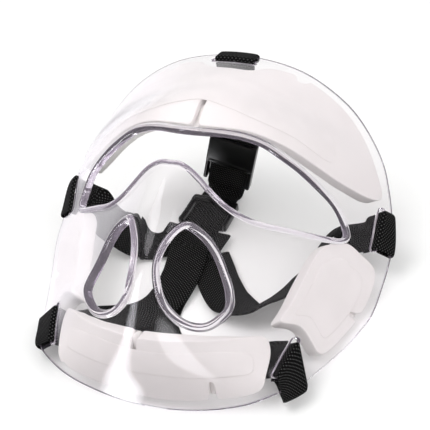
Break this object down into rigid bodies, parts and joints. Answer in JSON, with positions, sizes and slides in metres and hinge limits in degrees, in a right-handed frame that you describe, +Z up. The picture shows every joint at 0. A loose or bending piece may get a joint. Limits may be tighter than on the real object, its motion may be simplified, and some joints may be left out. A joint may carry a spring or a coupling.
{
  "type": "field hockey face mask",
  "caption": "Clear moulded face mask with an eye opening, breathing holes, foam pads and a black webbing harness with plastic sliders, lying nose up on its rims.",
  "frame": {"origin": "on the ground under the middle of the lying mask's length, on the mask's mirror plane", "axes": "+X to the right of someone looking at the face side, +Y along the ground towards the crown end, +Z up; the mask lies on its chin and side rims with the face tipped back 32 degrees"},
  "size_m": [0.2204, 0.2034, 0.1233],
  "materials": {
    "clear_shell": "clear moulded polycarbonate with a faint lavender tint and polished edges",
    "foam": "closed-cell EVA foam, matt off-white with a fine cell skin",
    "adhesive_tape": "thin double-sided adhesive tape, pale tan",
    "webbing": "black knitted elastic webbing with fine pale dots",
    "thread": "black sewing thread in close rows",
    "slider_plastic": "moulded black plastic with a soft sheen"
  },
  "bodies": {
    "mask": {"mask_shell": "clear_shell", "forehead_pad": "foam", "chin_pad": "foam", "side_right_pad": "foam", "side_left_pad": "foam", "forehead_tape": "adhesive_tape", "chin_tape": "adhesive_tape", "side_right_tape": "adhesive_tape", "side_left_tape": "adhesive_tape", "temple_left_strap": "webbing", "temple_right_strap": "webbing", "jaw_left_strap": "webbing", "jaw_right_strap": "webbing", "crown_strap": "webbing", "back_patch": "webbing", "temple_left_bartack": "thread", "temple_right_bartack": "thread", "jaw_left_bartack": "thread", "jaw_right_bartack": "thread", "crown_bartack": "thread", "patch_stitching": "thread"},
    "crown_buckle_body": {"crown_buckle": "slider_plastic"},
    "rear_slider_body": {"rear_slider": "slider_plastic"}
  },
  "joints": [
    {"name": "crown_buckle_slide", "type": "slide", "parent": "mask", "child": "crown_buckle_body", "axis": [0.2545, 0, 0.9671], "range_m": [-0.002, 0.014]},
    {"name": "rear_slider_slide", "type": "slide", "parent": "mask", "child": "rear_slider_body", "axis": [0.0985, 0.9951, 0], "range_m": [-0.003, 0.007]}
  ]
}
